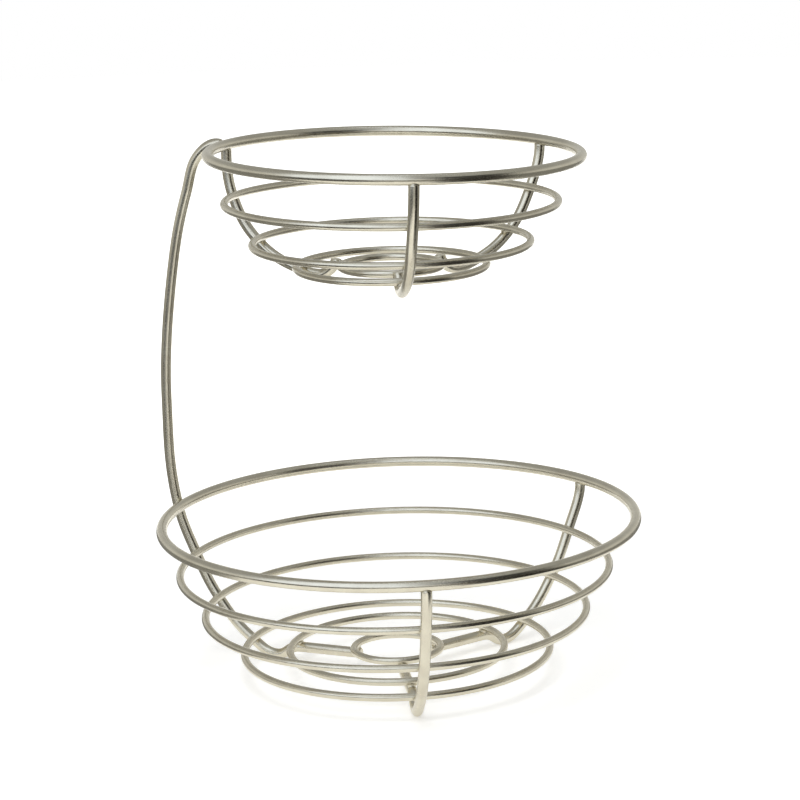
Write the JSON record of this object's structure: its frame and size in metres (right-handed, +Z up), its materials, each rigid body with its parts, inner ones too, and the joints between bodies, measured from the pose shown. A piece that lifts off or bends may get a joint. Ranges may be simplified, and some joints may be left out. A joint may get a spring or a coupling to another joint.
{
  "type": "fruit bowl",
  "caption": "Two tier fruit bowl of welded round steel wire with a satin nickel finish: a wide low bowl on curled feet and a smaller bowl above it, hung from a bowed side post",
  "frame": {"origin": "on the floor plane, under the centre of the lower rim, which is the middle of the bounding box's bottom", "axes": "+Z up along the lower rim's axis, front of the stand towards -Y, +X to the right as seen from the front; the post stands at the back left"},
  "size_m": [0.315, 0.315, 0.3503],
  "materials": {
    "nickel_wire": "satin nickel plate"
  },
  "bodies": {
    "root": {"lower_rim": "nickel_wire", "lower_hoop_high": "nickel_wire", "lower_hoop_low": "nickel_wire", "lower_base_ring": "nickel_wire", "lower_inner_ring": "nickel_wire", "lower_centre_ring": "nickel_wire", "lower_front_rib": "nickel_wire", "lower_right_rib": "nickel_wire", "stand_post": "nickel_wire", "upper_rim": "nickel_wire", "upper_hoop_high": "nickel_wire", "upper_hoop_low": "nickel_wire", "upper_base_ring": "nickel_wire", "upper_inner_ring": "nickel_wire", "upper_front_rib": "nickel_wire", "upper_right_rib": "nickel_wire", "upper_left_rib": "nickel_wire"}
  },
  "joints": []
}
